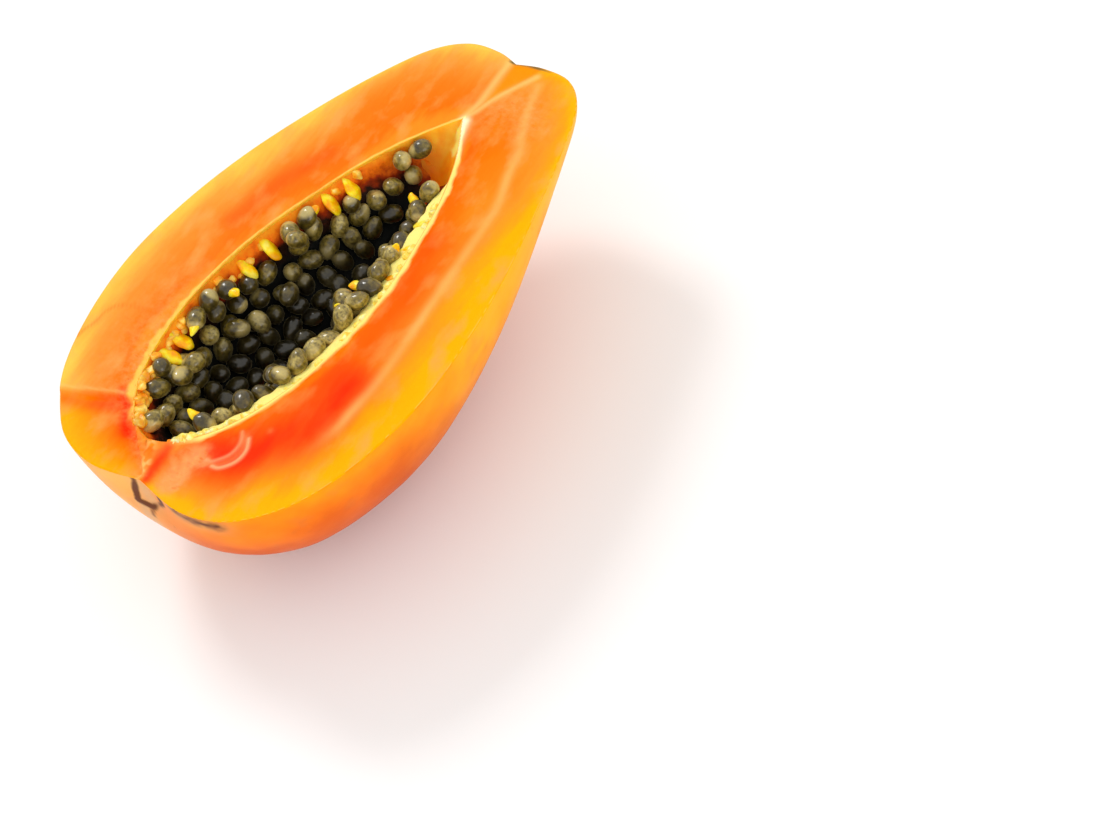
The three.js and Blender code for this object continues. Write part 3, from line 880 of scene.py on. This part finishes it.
poses_of = {name: seed_poses(bank) for name, bank in seed_banks.items()}
for name, bank in seed_banks.items():
    seed_bodies, kinds, depths, rinds = [], [], [], []
    for number, (centre, direction) in enumerate(poses_of[name]):
        corners, faces = egg(seed_width, seed_thickness, seed_length, 20, 24, seed_taper)
        rind_way = np.array([draw(number + 0.1), draw(number + 0.2), draw(number + 0.3)]) - 0.5
        rinds.append(corners @ rind_way / np.linalg.norm(rind_way) / (seed_width / 2))
        corners = corners * (1 + seed_wrinkles * waver(corners + 9 * number, 1.7, 26))[:, None]
        corners = kept_below(turned(corners, centre, direction), highest_top)
        seed_bodies.append((corners, faces))
        kinds.append(draw(bank["first"] + 3.3 * number))
        # The depth of each corner below the cut face sets the painted shade on the seeds
        depths.append(np.clip(-corners[:, 2] / dark_depth, 0, 1))
    seed_marks = {"kind": kinds, "depth": depths, "rind": rinds}
    seeds = bunch_piece("seeds_" + name + "_bank", seed_bodies, seed_marks, jelly.material)
    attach(seeds, "root")
    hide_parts("seeds_" + name)

# Loose thread ends. They are soft orange pulp, left on the tips of some upper seeds where the knife tore the
# seeds' threads, and they cling there by their wetness.
thread_share = 0.3
thread_width = 3
thread_thickness = 2
thread_length = 5
thread_taper = -0.4
lowest_thread = -8

for name, bank in seed_banks.items():
    thread_bodies = []
    for number, (centre, direction) in enumerate(poses_of[name]):
        if draw(bank["first"] + 5.1 * number) > thread_share or centre[2] < lowest_thread:
            continue
        corners, faces = egg(thread_width, thread_thickness, thread_length, 10, 12, thread_taper)
        corners = lumpy(turned(corners, centre + direction * seed_length / 2, direction), 0.4, 1.8, 40)
        thread_bodies.append((kept_below(corners, highest_top), faces))
    thread_ends = bunch_piece("loose_threads_" + name, thread_bodies, {}, pulp.material)
    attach(thread_ends, "root")

# The membrane that holds each bank of seeds. It is a wet, lumpy skin on the wall, made of the seeds' threads
# and jelly, pale at the right rim and orange where it is shallow. Deeper down it is painted shade, nearly
# black.
membrane_rows = 120
membrane_columns = 40
membrane_shade_depth = 20
membrane_lumps = {"broad": 0.5, "fine": 0.3}
highest_membrane = -0.9

threads = Finish(
    "Papaya seed membrane", roughness=0.6, subsurface_weight=0.15, subsurface_radius=(1.0, 0.3, 0.1),
    subsurface_scale=0.002, specular_ior_level=0.1)
# Painted shade: with depth, the membrane's orange turns dark red and then nearly black. This stands in for
# the shade deep in the cavity.
thread_colour_and_shade = threads.ramp(threads.plus(threads.mark("depth"), threads.noise(4, 4), 0.5), [
    (0.25, "ff9c18"), (0.4, "f87408"), (0.52, "a83404"), (0.66, "2c1206"), (0.85, "060703")])
threads.colour(threads.tint(thread_colour_and_shade, "pale", 1.0, "ffec84"))
threads.bump(threads.noise(1.2, 4), 0.6, 0.5)

for name, bank in seed_banks.items():
    along = np.linspace(0, 1, membrane_rows + 1)[:, None]
    across = np.linspace(0, 1, membrane_columns + 1)[None, :]
    rows = np.linspace(bank["start"] - 0.03, bank["end"] - 0.02, membrane_rows + 1)[:, None]
    columns = (np.linspace(bank["from"], bank["to"], membrane_columns + 1) * np.pi)[None, :]
    tuck = smooth_step(0, 0.15, across) * smooth_step(0, 0.15, 1 - across) * smooth_step(0, 0.06, along)
    tuck = tuck * smooth_step(0, 0.12, 1 - along)
    under = cavity_point(rows, columns, membrane_gap * tuck - 0.2 * (1 - tuck))
    over = cavity_point(rows, columns, bed_rise(rows, bank["thickness"]) * tuck - 0.1 * (1 - tuck))
    lumps = membrane_lumps["broad"] * waver(over, 3, 30) + membrane_lumps["fine"] * waver(over, 1.5, 31)
    over = over + cavity_inward(rows, columns) * (tuck * lumps)[..., None]
    over[..., 2] = np.minimum(over[..., 2], highest_membrane)
    under[..., 2] = np.minimum(under[..., 2], highest_membrane - 0.1)
    sheets = [
        (under, False, 0), (over, True, 0), (np.stack([under[0], over[0]]), True, 0),
        (np.stack([under[-1], over[-1]]), False, 0), (np.stack([under[:, 0], over[:, 0]], 1), False, 0),
        (np.stack([under[:, -1], over[:, -1]], 1), True, 0),
    ]
    places = np.concatenate([points.reshape(-1, 3) for points, _, _ in sheets])
    shallow = smooth_step(6, 3.5, -places[:, 2] + waver(places, 2, 19)) * smooth_step(-72, -60, places[:, 1])
    membrane_marks = {
        # Depth below the cut face sets the painted shade, which fades out towards the stem end
        "depth": np.clip(-places[:, 2] / membrane_shade_depth, 0, 1) * smooth_step(50, 30, places[:, 1]),
        "pale": shallow * (name == "right"),
    }
    membrane = sheet_piece("seed_membrane_" + name, sheets, membrane_marks, [threads.material])
    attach(membrane, "root")

# The plain pale floor that the half lies on, and the soft light of a bright studio: a key light from the
# upper left, a larger and weaker one from the right, and white surroundings.
floor_reach = 6
paper = Finish("Pale floor", roughness=0.9)
paper.colour(paper.ramp(paper.noise(400, 2), [(0.3, "f4f4f3"), (0.7, "f8f8f7")]))
floor_mesh = bpy.data.meshes.new("floor")
floor_corners = [(x * floor_reach, y * floor_reach, 0) for x, y in ((-1, -1), (1, -1), (1, 1), (-1, 1))]
floor_mesh.from_pydata(floor_corners, [], [(0, 1, 2, 3)])
floor_mesh.materials.append(paper.material)
floor = bpy.data.objects.new("floor", floor_mesh)
bpy.context.scene.collection.objects.link(floor)

world = bpy.data.worlds.new("studio")
world.use_nodes = True
world.node_tree.nodes["Background"].inputs["Color"].default_value = (1, 1, 1, 1)
world.node_tree.nodes["Background"].inputs["Strength"].default_value = 0.9
bpy.context.scene.world = world


def add_lamp(name, place, watts, size):
    """A square lamp that faces the middle of the half."""
    lamp = bpy.data.lights.new(name, "AREA")
    lamp.energy = watts
    lamp.size = size
    holder = bpy.data.objects.new(name, lamp)
    bpy.context.scene.collection.objects.link(holder)
    back = np.array(place, float) - [0, 0, 0.04]
    back /= np.linalg.norm(back)
    side = np.cross([0, 0, 1], back)
    side /= np.linalg.norm(side)
    turn = Matrix(np.stack([side, np.cross(back, side), back], 1).tolist())
    holder.matrix_world = Matrix.Translation(place) @ turn.to_4x4()


add_lamp("key", (-0.75, 0.25, 0.9), 5, 0.3)
add_lamp("fill", (0.9, -0.5, 0.35), 3, 0.7)

# The camera looks down on the cut face from the right, near the blossom end, with a slightly long lens. It is
# tilted to one side, so that the half lies across the picture from its lower left to its upper right.
camera_data = bpy.data.cameras.new("camera")
camera_data.lens = 60
camera_data.sensor_width = 36
camera = bpy.data.objects.new("camera", camera_data)
bpy.context.scene.collection.objects.link(camera)
bpy.context.scene.camera = camera
camera_right = (0.82717, 0.54099, -0.15209)
camera_up = (-0.38632, 0.74396, 0.54524)
camera_back = (0.40811, -0.39225, 0.82437)
camera_turn = Matrix((camera_right, camera_up, camera_back)).transposed()
camera.matrix_world = Matrix.Translation((0.27892, -0.19927, 0.44874)) @ camera_turn.to_4x4()
bpy.context.scene.view_settings.view_transform = "Standard"
